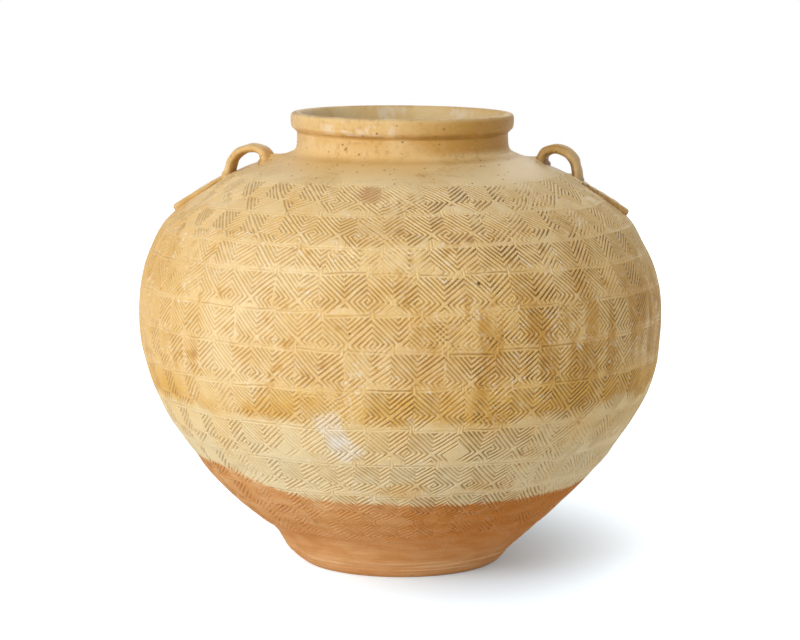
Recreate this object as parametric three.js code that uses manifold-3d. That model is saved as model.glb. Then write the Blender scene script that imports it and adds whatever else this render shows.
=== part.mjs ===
// A large globular stoneware storage jar with two loop handles on the shoulder.
// It is built as a potter builds it: a floor slab, wall courses luted one on the other, a collar and a folded
// lip, then the loops and the strips that are pressed on below them. Millimetres, +Z up, standing on Z = 0.
import * as THREE from "three";
import { mergeVertices } from "three/addons/utils/BufferGeometryUtils.js";
import Module from "manifold-3d";

const wasm = await Module();
wasm.setup();

// Driving dimensions
const HEIGHT = 341; // floor to the top of the lip
const SEGMENTS = 60; // facets round the jar
const FLOOR_RADIUS = 66;
const FLOOR_THICKNESS = 11;
const WALL_AT_FOOT = 11;
const WALL_AT_BELLY = 8.5; // from BELLY_LEVEL up
const BELLY_LEVEL = 120;
const LUTE = 0.3; // slip line between a handle and the wall
const FOOT_RADIUS = 74; // the standing edge, inside the rounded corner of the foot
const COURSE_SPLAY = 2; // a course laps over the one below it by this much
const BARE_BELOW = 60; // the glaze stops above this height

// The outside of the jar, from the foot up, as [height, radius].
const OUTLINE = [
  [0, FOOT_RADIUS],
  [1.5, 76.5],
  [4, 79.5],
  [12, 87],
  [21, 94.7],
  [31, 104],
  [36, 111],
  [50, 126.7],
  [70, 145.7],
  [95, 164.8],
  [120, 181],
  [150, 193.3],
  [180, 198],
  [205, 197.4],
  [225, 193.2],
  [245, 184],
  [257, 177],
  [265, 169.5],
  [274, 157.8],
  [280, 149],
  [286, 140],
  [292, 130.5],
  [297, 120.5],
  [301, 110],
  [304.5, 99],
  [308, 89.5],
  [310.5, 84.2],
  [312, 81.7],
  [314.5, 80.1],
  [319, 79.5],
];

// Wall courses: name, lower and upper edge, and the heights of the rings between them.
const COURSES = [
  ["foot_course", 0, 31, [1.5, 4, 12, 21]],
  ["wall_course_1", 31, 51, [36, 43]],
  ["wall_course_2", 51, 72, [61]],
  ["wall_course_3", 72, 103, [87]],
  ["wall_course_4", 103, 133, [118]],
  ["wall_course_5", 133, 161, [147]],
  ["wall_course_6", 161, 189, [175]],
  ["wall_course_7", 189, 217, [203]],
  ["wall_course_8", 217, 241, [229]],
  ["wall_course_9", 241, 262, [252]],
  ["wall_course_10", 262, 281, [272]],
  ["wall_course_11", 281, 293, [287]],
  ["shoulder_course", 293, 305, [297, 301]],
];

// Collar
const COLLAR_BOTTOM = 305;
const COLLAR_RINGS = [308, 312, 315, 319];
const COLLAR_TOP_RADIUS = 79.9;
const COLLAR_INSIDE = 73;
const COLLAR_THROAT = 312; // below this level the inside widens a little
const COLLAR_WIDENING = 1.5;

// The folded lip's section, from the collar's outside up, over and down to its inside, as [height, radius].
const LIP_BOTTOM = 326.5;
const LIP = [
  [LIP_BOTTOM, COLLAR_TOP_RADIUS],
  [328.4, 82],
  [330.2, 83.7],
  [333, 84.3],
  [337.6, 84.3],
  [339.8, 83.4],
  [HEIGHT, 81.2],
  [HEIGHT, 78.4],
  [339.5, 76.2],
  [334, 73.8],
  [LIP_BOTTOM, COLLAR_INSIDE],
];

// Handles. The loops were bent and set by hand, so each has its own arch and stands a little turned, and
// the two sides differ. An arch is the middle line of the strap, as [distance from the axis, height], from
// its outer root, inside the wall, to its inner one. A strip runs from clear of its loop to its own end,
// and its bearing is how far round from the X axis it lies, in degrees.
const LOOP_WIDTH = 15.4;
const OUTER_FLARE = 2; // a root is this much wider and thicker than the strap
const INNER_FLARE = 3.8;
const FLARE_RISE = 5; // and the flare dies away over this height
const LOOP_RINGS = 20;
const STRIP_START_THICKNESS = 4.2;
const STRIP_END_THICKNESS = 5.6;
const STRIP_BEDDING = 1.2; // the strip's underside runs this far into the wall, and is cut back to it
const STRIP_ROUNDING = 7; // length of its rounded end
const STRIP_BLUNTNESS = 0.5; // the end's width, as a share of the strip's
const STRIP_RINGS = 12;
const STRIP_CROWDING = 1.6; // above 1, the rings stand closer together towards the end
const HANDLES = [
  {
    side: "left",
    sign: -1,
    turned: 20,
    thickness: 5.8,
    arch: [
      [128.4, 285],
      [127.5, 293],
      [126.4, 299],
      [124, 304.9],
      [119.5, 310],
      [113.2, 313.1],
      [106.8, 313.8],
      [101.7, 311.9],
      [98.9, 307.5],
      [98.2, 301.5],
      [98.2, 297],
    ],
    strip: { from: 138.5, to: 168.5, width: 17, bearing: 2.4 },
  },
  {
    side: "right",
    sign: 1,
    turned: 14,
    thickness: 7,
    arch: [
      [134.8, 283],
      [134.6, 291],
      [134.2, 298],
      [132.2, 304.4],
      [128, 309.4],
      [122.3, 312.3],
      [116, 312.4],
      [110.9, 309.7],
      [108.4, 304.8],
      [107.8, 299],
      [107.8, 294],
    ],
    strip: { from: 145, to: 171.5, width: 19, bearing: 2.6 },
  },
];

const profile = new THREE.CatmullRomCurve3(
  OUTLINE.map(([z, r]) => new THREE.Vector3(r, 0, z)),
  false,
  "centripetal",
);
const SAMPLES = 900;
const outline = profile.getPoints(SAMPLES).map((p) => new THREE.Vector2(p.x, p.z));

// The outline's point at a height, worked out from the sampled curve.
function outlineAt(height) {
  let i = 1;
  while (i < outline.length - 1 && outline[i].y < height) i += 1;
  const [a, b] = [outline[i - 1], outline[i]];
  const t = THREE.MathUtils.clamp((height - a.y) / (b.y - a.y || 1), 0, 1);
  return a.clone().lerp(b, t);
}

// The direction out of the wall at a height.
function outwardAt(height) {
  const along = outlineAt(height + 0.5).sub(outlineAt(height - 0.5));
  return new THREE.Vector2(along.y, -along.x).normalize();
}

// The height of the shoulder at a distance from the axis.
const WIDEST_LEVEL = 200;
function shoulderHeight(radius) {
  const above = outline.filter((p) => p.y > WIDEST_LEVEL);
  const i = above.findIndex((p) => p.x < radius);
  const [a, b] = [above[i - 1], above[i]];
  return THREE.MathUtils.lerp(a.y, b.y, (radius - a.x) / (b.x - a.x));
}

// The inside of the wall, level with a height on the outside.
function insideAt(height) {
  const thickness = THREE.MathUtils.lerp(WALL_AT_FOOT, WALL_AT_BELLY, Math.min(1, height / BELLY_LEVEL));
  return outlineAt(height).sub(outwardAt(height).multiplyScalar(thickness));
}

const clay = (color, roughness) => new THREE.MeshStandardMaterial({ color, roughness, metalness: 0 });
const glazed = clay(0xcfa868, 0.45);
const bareClay = clay(0xb9824f, 0.85);

const jar = new THREE.Group();
jar.name = "stoneware_jar";

function add(name, geometry, material) {
  const mesh = new THREE.Mesh(geometry, material);
  mesh.name = name;
  jar.add(mesh);
}

// A ring turned about the jar's axis, from a closed profile of (radius, height) points that runs
// up the outside and down the inside.
function turned(points) {
  const ring = new THREE.LatheGeometry([...points, points[0].clone()], SEGMENTS);
  ring.rotateX(Math.PI / 2);
  return ring;
}

// Floor slab, inside the foot ring
add(
  "floor_slab",
  turned([
    new THREE.Vector2(0, 0),
    new THREE.Vector2(FLOOR_RADIUS, 0),
    new THREE.Vector2(FLOOR_RADIUS, FLOOR_THICKNESS),
    new THREE.Vector2(0, FLOOR_THICKNESS),
  ]),
  bareClay,
);

// The foot course stands on its edge and goes round the floor slab.
function footCourse(high, between) {
  const rings = between.filter((z) => z > FLOOR_THICKNESS + 2 * COURSE_SPLAY);
  return turned([
    outlineAt(0),
    ...between.map(outlineAt),
    outlineAt(high),
    insideAt(high - COURSE_SPLAY),
    ...rings.map((z) => insideAt(z - COURSE_SPLAY)).reverse(),
    new THREE.Vector2(FLOOR_RADIUS, FLOOR_THICKNESS),
    new THREE.Vector2(FLOOR_RADIUS, 0),
  ]);
}

// The other courses: their joints slope down to the inside, so that each laps the one below.
function wallCourse(low, high, between) {
  const heights = [low, ...between, high];
  return turned([...heights.map(outlineAt), ...heights.map((z) => insideAt(z - COURSE_SPLAY)).reverse()]);
}

COURSES.forEach(([name, low, high, between]) => {
  const ring = low === 0 ? footCourse(high, between) : wallCourse(low, high, between);
  add(name, ring, low < BARE_BELOW ? bareClay : glazed);
});

// Collar, thrown upright, on the shoulder's opening
add(
  "collar",
  turned([
    outlineAt(COLLAR_BOTTOM),
    ...COLLAR_RINGS.map(outlineAt),
    new THREE.Vector2(COLLAR_TOP_RADIUS, LIP_BOTTOM),
    new THREE.Vector2(COLLAR_INSIDE, LIP_BOTTOM),
    new THREE.Vector2(COLLAR_INSIDE, COLLAR_THROAT),
    new THREE.Vector2(COLLAR_INSIDE + COLLAR_WIDENING, COLLAR_BOTTOM - 1),
    insideAt(COLLAR_BOTTOM - COURSE_SPLAY),
  ]),
  glazed,
);

// Folded lip: a band that stands proud of the collar, its inner edge bevelled to the mouth
add("folded_lip", turned(LIP.map(([z, r]) => new THREE.Vector2(r, z))), glazed);

// A closed geometry as a solid that can be cut.
function solid(geometry) {
  const plain = geometry.clone();
  plain.deleteAttribute("normal");
  plain.deleteAttribute("uv");
  const merged = mergeVertices(plain, 1e-4);
  return new wasm.Manifold(
    new wasm.Mesh({
      numProp: 3,
      vertProperties: new Float32Array(merged.attributes.position.array),
      triVerts: new Uint32Array(merged.index.array),
    }),
  );
}

function geometryOf(cut) {
  const mesh = cut.getMesh();
  const geometry = new THREE.BufferGeometry();
  geometry.setAttribute("position", new THREE.BufferAttribute(mesh.vertProperties, 3));
  geometry.setIndex(new THREE.BufferAttribute(mesh.triVerts, 1));
  geometry.computeVertexNormals();
  return geometry;
}

// A strap of clay: a closed sweep along middle points in the XZ plane, each with a width across that
// plane and a thickness in it. The section is an oval with flattened faces.
const SECTION_POINTS = 14;
const FLATNESS = 0.72; // 1 is an ellipse, and less is squarer
function strap(middles, widths, thicknesses) {
  const corners = [];
  middles.forEach((middle, i) => {
    const before = middles[Math.max(0, i - 1)];
    const after = middles[Math.min(middles.length - 1, i + 1)];
    const along = after.clone().sub(before).normalize();
    for (let j = 0; j < SECTION_POINTS; j += 1) {
      const around = (2 * Math.PI * j) / SECTION_POINTS;
      const [c, s] = [Math.cos(around), Math.sin(around)].map((v) => Math.sign(v) * Math.abs(v) ** FLATNESS);
      const off = (s * thicknesses[i]) / 2;
      corners.push(middle.x - along.y * off, (c * widths[i]) / 2, middle.y + along.x * off);
    }
  });
  const last = (middles.length - 1) * SECTION_POINTS;
  const faces = [];
  for (let j = 0; j < SECTION_POINTS; j += 1) {
    const next = (j + 1) % SECTION_POINTS;
    for (let base = 0; base < last; base += SECTION_POINTS) {
      const above = base + SECTION_POINTS;
      faces.push(base + j, base + next, above + next, base + j, above + next, above + j);
    }
    if (j > 0 && next > 0) faces.push(0, next, j, last, last + j, last + next);
  }
  const body = new THREE.BufferGeometry();
  body.setAttribute("position", new THREE.Float32BufferAttribute(corners, 3));
  body.setIndex(faces);
  return body;
}

// The shoulder and the collar's root, grown by the slip line, to cut what sits on them. It has the
// rings of the pieces themselves.
const upperCourses = COURSES.filter(([, low]) => low > WIDEST_LEVEL);
const courseRings = upperCourses.flatMap(([, low, , between]) => [low, ...between]);
const cutterRings = [...courseRings, COLLAR_BOTTOM, ...COLLAR_RINGS];
const shoulderCutter = solid(
  turned([
    new THREE.Vector2(0, cutterRings[0]),
    ...cutterRings.map((z) => outlineAt(z).add(outwardAt(z).multiplyScalar(LUTE))),
    new THREE.Vector2(0, cutterRings[cutterRings.length - 1]),
  ]),
);

// What is left of a strap above the shoulder.
const seated = (body) =>
  solid(body)
    .subtract(shoulderCutter)
    .decompose()
    .sort((a, b) => b.volume() - a.volume())[0];

// A loop: its arch is bent in a plane that is turned about the middle of the loop.
function loop({ sign, turned: degrees, thickness, arch }) {
  const turn = THREE.MathUtils.degToRad(degrees);
  const middle = (arch[0][0] + arch[arch.length - 1][0]) / 2;
  const spread = 1 / Math.cos(turn);
  const line = new THREE.CatmullRomCurve3(
    arch.map(([radius, height]) => new THREE.Vector3((radius - middle) * spread, 0, height)),
  );
  const middles = line.getSpacedPoints(LOOP_RINGS).map((p) => new THREE.Vector2(p.x, p.z));
  const flares = middles.map(({ x, y }, i) => {
    const rise = Math.max(0, y - shoulderHeight(middle + x));
    return THREE.MathUtils.lerp(OUTER_FLARE, INNER_FLARE, i / LOOP_RINGS) * Math.exp(-rise / FLARE_RISE);
  });
  const body = strap(
    middles,
    flares.map((flare) => LOOP_WIDTH + flare),
    flares.map((flare) => thickness + flare),
  );
  if (sign < 0) body.rotateZ(Math.PI);
  body.rotateZ(-turn);
  body.translate(sign * middle, 0, 0);
  return seated(body);
}

// A strip, pressed on the shoulder below the outer root of a loop.
function strip({ sign, strip: { from, to, width, bearing } }) {
  const steps = [];
  for (let i = 0; i <= STRIP_RINGS; i += 1) steps.push(1 - (1 - i / STRIP_RINGS) ** STRIP_CROWDING);
  const thicknesses = steps.map((t) => THREE.MathUtils.lerp(STRIP_START_THICKNESS, STRIP_END_THICKNESS, t));
  const middles = steps.map((t, i) => {
    const radius = THREE.MathUtils.lerp(from, to, t);
    const height = shoulderHeight(radius);
    const lift = outwardAt(height).multiplyScalar(thicknesses[i] / 2 - STRIP_BEDDING);
    return new THREE.Vector2(radius, height).add(lift);
  });
  const rounding = steps.map((t) => {
    const left = Math.min(1, ((1 - t) * (to - from)) / STRIP_ROUNDING);
    return THREE.MathUtils.lerp(STRIP_BLUNTNESS, 1, Math.sqrt(1 - (1 - left) ** 2));
  });
  const body = strap(
    middles,
    rounding.map((share) => width * share),
    thicknesses,
  );
  if (sign < 0) body.rotateZ(Math.PI);
  body.rotateZ(-THREE.MathUtils.degToRad(bearing));
  return seated(body);
}

HANDLES.forEach((handle) => {
  add(`${handle.side}_loop`, geometryOf(loop(handle)), glazed);
  add(`${handle.side}_strip`, geometryOf(strip(handle)), glazed);
});

export default jar;
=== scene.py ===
# %% [markdown]
# # A stamped stoneware storage jar
#
# The real jar was raised from coils of clay, beaten with a carved stamp, given a collar, a lip and two
# loop handles, and fired with a thin ash glaze on its upper part. This lesson dresses the plain solids
# of such a jar in Blender. The solids come in as a fixed frame, and every visible piece made here takes
# the place of one of them.
#
# The frame's coordinates are metres, +Z is up, and the jar stands on Z = 0 with its loops on the X axis.
# Sizes below are written in millimetres, as a potter would give them, and scaled when a mesh is made.

# %% Load the frame
import math

import bpy
import numpy as np
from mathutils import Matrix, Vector, noise


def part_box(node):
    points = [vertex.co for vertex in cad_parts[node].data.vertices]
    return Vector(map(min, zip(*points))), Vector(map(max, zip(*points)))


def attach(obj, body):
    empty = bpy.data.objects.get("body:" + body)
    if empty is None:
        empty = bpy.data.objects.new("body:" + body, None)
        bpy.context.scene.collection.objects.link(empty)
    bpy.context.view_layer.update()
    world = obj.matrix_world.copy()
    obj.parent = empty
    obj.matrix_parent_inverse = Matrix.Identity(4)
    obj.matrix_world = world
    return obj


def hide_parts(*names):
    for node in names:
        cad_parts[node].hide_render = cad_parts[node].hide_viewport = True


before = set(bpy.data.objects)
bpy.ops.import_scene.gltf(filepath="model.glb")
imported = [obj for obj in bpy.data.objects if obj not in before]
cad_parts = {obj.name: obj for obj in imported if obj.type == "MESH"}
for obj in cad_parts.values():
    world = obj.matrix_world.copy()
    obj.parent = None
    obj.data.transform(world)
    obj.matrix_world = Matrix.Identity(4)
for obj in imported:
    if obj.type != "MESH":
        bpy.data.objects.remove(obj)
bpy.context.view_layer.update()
MM = 0.001

# %% [markdown]
# ## Camera
#
# The jar is seen from a little above, from two metres away, as a pot is photographed for a catalogue. A
# wide lens up close would swell the belly, so a long lens keeps its foot and its mouth in proportion.

# %% Camera
CAMERA_DISTANCE = 2.070
CAMERA_HEIGHT = 0.4776
CAMERA_PITCH = math.radians(8.116)
LENS = 123.8

camera_data = bpy.data.cameras.new("camera")
camera_data.lens = LENS
camera_data.sensor_width = 36.0
camera = bpy.data.objects.new("camera", camera_data)
camera.location = (0.0, -CAMERA_DISTANCE, CAMERA_HEIGHT)
camera.rotation_euler = (math.pi / 2 - CAMERA_PITCH, 0.0, 0.0)
bpy.context.scene.collection.objects.link(camera)
bpy.context.scene.camera = camera
print("camera", tuple(round(v, 3) for v in camera.location))

# %% [markdown]
# ## Writing a material as sums
#
# A material can be wired by hand, one node at a time, but its formula is then hard to read. A small
# class that wraps a socket lets Python's own signs add the nodes, so that `1 - mask` is one Math node.
# Every other node comes from one method, `Shader.node`, which takes its settings and its inputs.


# %% A socket with arithmetic
class Value:
    """A number that varies over a surface: the output socket of a node."""

    def __init__(self, shader, socket):
        self.shader, self.socket = shader, socket

    def _math(self, operation, *inputs):
        return self.shader.node("ShaderNodeMath", dict(operation=operation), dict(enumerate(inputs)))

    def __add__(self, other):
        return self._math("ADD", self, other)

    def __radd__(self, other):
        return self._math("ADD", other, self)

    def __sub__(self, other):
        return self._math("SUBTRACT", self, other)

    def __rsub__(self, other):
        return self._math("SUBTRACT", other, self)

    def __mul__(self, other):
        return self._math("MULTIPLY", self, other)

    def __rmul__(self, other):
        return self._math("MULTIPLY", other, self)

    def ramp(self, low, high):
        """0 below low, 1 above high, and a smooth step between them."""
        settings = dict(interpolation_type="SMOOTHSTEP")
        inputs = {"Value": self, "From Min": low, "From Max": high}
        return self.shader.node("ShaderNodeMapRange", settings, inputs)

    def window(self, start, rise, fall, end):
        """1 between rise and fall, and 0 outside start and end."""
        return self.ramp(start, rise) * (1 - self.ramp(fall, end))


print("values add and multiply as nodes")


# %% A material with its nodes
class Shader:
    """A material and the nodes in it."""

    def __init__(self, name):
        self.material = bpy.data.materials.new(name)
        self.material.use_nodes = True
        self.tree = self.material.node_tree
        self.surface = self.tree.nodes["Principled BSDF"]

    def node(self, kind, settings=None, inputs=None, output=0):
        """Adds a node, sets it, fills or links its sockets, and gives back one output."""
        made = self.tree.nodes.new(kind)
        for key, value in (settings or {}).items():
            setattr(made, key, value)
        for key, value in (inputs or {}).items():
            self.plug(made.inputs[key], value)
        return Value(self, made.outputs[output])

    def plug(self, socket, value):
        """Links a varying value to a socket, or sets a constant on it."""
        if isinstance(value, Value):
            self.tree.links.new(value.socket, socket)
        else:
            socket.default_value = value

    def split(self, vector):
        """The X, Y and Z of a vector."""
        parts = self.node("ShaderNodeSeparateXYZ", inputs={0: vector}).socket.node
        return [Value(self, parts.outputs[axis]) for axis in "XYZ"]

    def stretch(self, vector, by):
        """A vector with each of its parts scaled, which draws a pattern out the other way."""
        return self.node("ShaderNodeVectorMath", dict(operation="MULTIPLY"), {0: vector, 1: by})

    def mix(self, factor, a, b):
        """Colour a where factor is 0, and colour b where it is 1."""
        inputs = {0: factor, 6: a, 7: b}
        return self.node("ShaderNodeMix", dict(data_type="RGBA"), inputs, output=2)

    def noise(self, where, size, detail=3.0, roughness=0.5):
        """Noise from 0 to 1 with features of about size metres."""
        inputs = {"Vector": where, "Scale": 1.0 / size, "Detail": detail, "Roughness": roughness}
        return self.node("ShaderNodeTexNoise", {}, inputs)

    def attribute(self, name):
        """A mask stored on the mesh, point by point."""
        return self.node("ShaderNodeAttribute", dict(attribute_name=name), output="Fac")

    def distance(self, where, place):
        """How far a point is from a place, in metres."""
        settings, inputs = dict(operation="DISTANCE"), {0: where, 1: place}
        return self.node("ShaderNodeVectorMath", settings, inputs, output="Value")

    def finish(self, color, roughness, normal):
        """Plugs in the three things that vary over the surface, and gives back the material."""
        self.plug(self.surface.inputs["Base Color"], color)
        self.plug(self.surface.inputs["Roughness"], roughness)
        self.plug(self.surface.inputs["Normal"], normal)
        return self.material


print("shader maths is ready")

# %% [markdown]
# ## Floor and light
#
# The pot stands on white and keeps a soft shadow beside its foot. A floor that is only lit would turn
# grey and show a horizon. So the floor adds white of its own, for camera rays and reflections: all of it
# far from the pot, and less in the patch beside the foot, where the shadow has to stay. Orange light
# from the clay would tint that shadow, so the floor is also a cool grey to the camera, and the shadow
# comes out neutral.

# %% Floor
FLOOR_SIZE = 6.0
SHADOW_MIDDLE = (0.055, 0.018, 0.0)
SHADOW_DEPTH = 0.6
SHADOW_INNER, SHADOW_OUTER = 0.015, 0.215
LIFT_IN_SHADOW, LIFT_OUTSIDE = 0.15, 1.0
WHITE = (1.0, 1.0, 1.0, 1.0)
WHITE_PAPER = (0.94, 0.94, 0.94, 1.0)
COOL_PAPER = (0.60, 0.755, 0.88, 1.0)

floor_mesh = bpy.data.meshes.new("floor")
half = FLOOR_SIZE / 2
floor_corners = [(-half, -half, 0), (half, -half, 0), (half, half, 0), (-half, half, 0)]
floor_mesh.from_pydata(floor_corners, [], [(0, 1, 2, 3)])
floor = bpy.data.objects.new("floor", floor_mesh)
bpy.context.scene.collection.objects.link(floor)

paper = Shader("white_floor")
rays = paper.node("ShaderNodeLightPath").socket.node.outputs
seen = Value(paper, rays["Is Camera Ray"])
shown = seen + Value(paper, rays["Is Glossy Ray"]) + Value(paper, rays["Is Transmission Ray"])
place = paper.stretch(paper.node("ShaderNodeTexCoord", output="Object"), (1.0, SHADOW_DEPTH, 1.0))
away = paper.distance(place, SHADOW_MIDDLE)
lift = LIFT_IN_SHADOW + away.ramp(SHADOW_INNER, SHADOW_OUTER) * (LIFT_OUTSIDE - LIFT_IN_SHADOW)
paper.plug(paper.surface.inputs["Base Color"], paper.mix(seen, WHITE_PAPER, COOL_PAPER))
paper.plug(paper.surface.inputs["Roughness"], 0.9)
paper.plug(paper.surface.inputs["Specular IOR Level"], 0.0)
paper.plug(paper.surface.inputs["Emission Color"], WHITE)
paper.plug(paper.surface.inputs["Emission Strength"], shown * lift)
floor_mesh.materials.append(paper.material)
print("floor is", FLOOR_SIZE, "m wide")

# %% [markdown]
# A large soft lamp stands at the left and hardly higher than the jar, so its light rakes across the
# stamped lines and draws them. A sun would draw them harder than the photographed pot shows. The world
# fills the shadows at a low strength, and at a strength of 1 it is plain white to the camera and in
# reflections.

# %% World and lamps
AMBIENT = 0.30
world = bpy.data.worlds.new("studio")
world.use_nodes = True
bpy.context.scene.world = world
sky, sky_links = world.node_tree.nodes, world.node_tree.links
path = sky.new("ShaderNodeLightPath")
seen_or_mirrored = sky.new("ShaderNodeMath")
white_rays = sky.new("ShaderNodeMath")
sky_links.new(path.outputs["Is Camera Ray"], seen_or_mirrored.inputs[0])
sky_links.new(path.outputs["Is Glossy Ray"], seen_or_mirrored.inputs[1])
sky_links.new(seen_or_mirrored.outputs[0], white_rays.inputs[0])
sky_links.new(path.outputs["Is Transmission Ray"], white_rays.inputs[1])
strength = sky.new("ShaderNodeMapRange")
strength.inputs["To Min"].default_value = AMBIENT
strength.inputs["To Max"].default_value = 1.0
sky_links.new(white_rays.outputs[0], strength.inputs["Value"])
sky_links.new(strength.outputs[0], sky["Background"].inputs["Strength"])
sky["Background"].inputs["Color"].default_value = WHITE


def lamp(name, place, size, power, target=(0.0, 0.0, 0.17)):
    """A soft square lamp that points at the jar."""
    data = bpy.data.lights.new(name, "AREA")
    data.size = size
    data.energy = power
    made = bpy.data.objects.new(name, data)
    made.location = place
    made.rotation_euler = (Vector(target) - Vector(place)).to_track_quat("-Z", "Y").to_euler()
    bpy.context.scene.collection.objects.link(made)


LAMP_SIZE = 1.3
lamp("key", (-1.04, -1.80, 1.37), LAMP_SIZE, 28.0)
lamp("side_light", (-2.06, -1.19, 0.50), LAMP_SIZE, 14.0)
lamp("back_light", (0.5, 2.2, 1.5), LAMP_SIZE, 9.0)
lamp("right_light", (2.25, 0.4, 1.2), LAMP_SIZE, 5.7)
bpy.context.scene.view_settings.view_transform = "Standard"
print("stage is set")

# %% [markdown]
# ## The outline and the surface map
#
# The jar is close to a turned form, so one outline, from the foot to the top of the collar, gives every
# wall piece. A lathe with a bump texture would be quick, but the stamped lines are real relief and have
# to stand in the mesh. So the outside is a fine grid of rings and columns, and the relief is worked out
# on the whole grid at once, by angle and by length along the outline. Each course then takes its own
# rings from the grid, so that neighbours share their edge exactly.

# %% The outline
# Height and radius in millimetres, from the standing edge to the collar.
OUTLINE = [
    (0, 74), (1.5, 76.5), (4, 79.5), (12, 87), (21, 94.7), (31, 104), (36, 111), (50, 126.7), (70, 145.7),
    (95, 164.8), (120, 181), (150, 193.3), (180, 198), (205, 197.4), (225, 193.2), (245, 184), (257, 177),
    (265, 169.5), (274, 157.8), (280, 149), (286, 140), (292, 130.5), (297, 120.5), (301, 110),
    (304.5, 99), (308, 89.5), (310.5, 84.2), (312, 81.7), (314.5, 80.1), (319, 79.5),
]


def smooth_curve(points, steps=40):
    """A smooth curve through points (Catmull-Rom, centripetal)."""
    p = np.array(points, float)
    p = np.vstack([2 * p[0] - p[1], p, 2 * p[-1] - p[-2]])
    out = []
    for a, b, c, d in zip(p, p[1:], p[2:], p[3:]):
        knots = np.cumsum([0.0] + [np.linalg.norm(v) ** 0.5 for v in (b - a, c - b, d - c)])
        t = np.linspace(knots[1], knots[2], steps, endpoint=False)[:, None]
        k0, k1, k2, k3 = knots
        ab = (k1 - t) / (k1 - k0) * a + (t - k0) / (k1 - k0) * b
        bc = (k2 - t) / (k2 - k1) * b + (t - k1) / (k2 - k1) * c
        cd = (k3 - t) / (k3 - k2) * c + (t - k2) / (k3 - k2) * d
        abc = (k2 - t) / (k2 - k0) * ab + (t - k0) / (k2 - k0) * bc
        bcd = (k3 - t) / (k3 - k1) * bc + (t - k1) / (k3 - k1) * cd
        out.append((k2 - t) / (k2 - k1) * abc + (t - k1) / (k2 - k1) * bcd)
    return np.vstack(out + [p[-2:-1]])


curve = smooth_curve(OUTLINE)
curve_z, curve_r = curve[:, 0], curve[:, 1]
curve_s = np.concatenate([[0.0], np.cumsum(np.hypot(np.diff(curve_z), np.diff(curve_r)))])
print("outline is", round(curve_s[-1]), "mm long")


# %% Places on the outline
SLOPE_REACH = 0.8


def at_height(z):
    """Length along the outline at a height, all in millimetres."""
    return float(np.interp(z, curve_z, curve_s))


def point(s):
    """Radius and height at a length along the outline, and the outward direction there."""
    s = np.asarray(s, float)
    r, z = np.interp(s, curve_s, curve_r), np.interp(s, curve_s, curve_z)
    before = np.clip(s - SLOPE_REACH, 0, curve_s[-1])
    after = np.clip(s + SLOPE_REACH, 0, curve_s[-1])
    dr = np.interp(after, curve_s, curve_r) - np.interp(before, curve_s, curve_r)
    dz = np.interp(after, curve_s, curve_z) - np.interp(before, curve_s, curve_z)
    length = np.hypot(dr, dz)
    return r, z, dz / length, -dr / length


WIDEST_LEVEL = 200.0


def shoulder_z(radius):
    """The height of the shoulder at a distance from the axis."""
    upper = curve_z > WIDEST_LEVEL
    return float(np.interp(-radius, -curve_r[upper], curve_z[upper]))


print("the shoulder is", round(shoulder_z(120)), "mm high 120 mm from the axis")

# %% The grid of the outside
# Each course: its node and the heights of its edges.
COURSES = [
    ("foot_course", 0, 31), ("wall_course_1", 31, 51), ("wall_course_2", 51, 72), ("wall_course_3", 72, 103),
    ("wall_course_4", 103, 133), ("wall_course_5", 133, 161), ("wall_course_6", 161, 189),
    ("wall_course_7", 189, 217), ("wall_course_8", 217, 241), ("wall_course_9", 241, 262),
    ("wall_course_10", 262, 281), ("wall_course_11", 281, 293), ("shoulder_course", 293, 305),
]
COLUMNS = 1792
RING_SPACING = 0.68
MOST_RINGS = 49
GIRTH = 2 * math.pi * 190.0

ring_s = [0.0]
course_rings = {}
for node, low, high in COURSES:
    first = len(ring_s) - 1
    start, end = at_height(low), at_height(high)
    count = min(MOST_RINGS, round((end - start) / RING_SPACING))
    ring_s += list(np.linspace(start, end, count + 1)[1:])
    course_rings[node] = (first, len(ring_s) - 1)
ring_s = np.array(ring_s)
ring_r, ring_z, out_r, out_z = point(ring_s)
angle = np.arange(COLUMNS) * 2 * math.pi / COLUMNS
print(len(ring_s), "rings of", COLUMNS, "columns")

# %% [markdown]
# ## The stamped mat pattern
#
# The potter beat the wall with a carved stamp, tier by tier from the shoulder down. Two diagonals cross
# on the stamp, and fine lines run parallel to them, so that a print shows nested Vs with half a diamond
# on either side. Above them is a flat band. The next tier down covers the foot of each print, the
# stamp often took only with its upper part, and where it came down twice the lines cross. A tiled
# texture would repeat without any of this. So each blow of the stamp is made again, in order, on a map
# of the clay's height.

# %% A finer grid for the relief
fine_s = np.interp(np.arange(2 * len(ring_s) - 1) / 2, np.arange(len(ring_s)), ring_s)
fine_r, fine_z, _, _ = point(fine_s)
fine_angle = np.arange(2 * COLUMNS) * math.pi / COLUMNS
rng = np.random.default_rng(11)


def step(x, low, high):
    """0 below low, 1 above high, and a smooth step between them."""
    t = np.clip((x - low) / (high - low), 0.0, 1.0)
    return t * t * (3 - 2 * t)


def ripples(wavelength, waves=12):
    """A smooth random field over the fine grid, mostly between -1 and 1, with features of a length in mm."""
    heading, phase = rng.uniform(0, 2 * math.pi, (2, waves))
    turns = np.round(GIRTH / wavelength * np.cos(heading))
    climb = 2 * math.pi / wavelength * np.sin(heading)
    around = np.outer(turns, fine_angle)
    rise = np.outer(fine_s, climb) + phase
    field = np.cos(rise) @ np.cos(around) - np.sin(rise) @ np.sin(around)
    return (field / math.sqrt(waves)).astype(np.float32)


warp_u, warp_v = 0.28 * ripples(26.0), 0.28 * ripples(26.0)
wear = np.clip(0.92 + 0.13 * ripples(60.0) + 0.15 * ripples(12.0), 0.45, 1.15)
print("line wobble up to", round(float(np.abs(warp_u).max()), 2), "mm")

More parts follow.
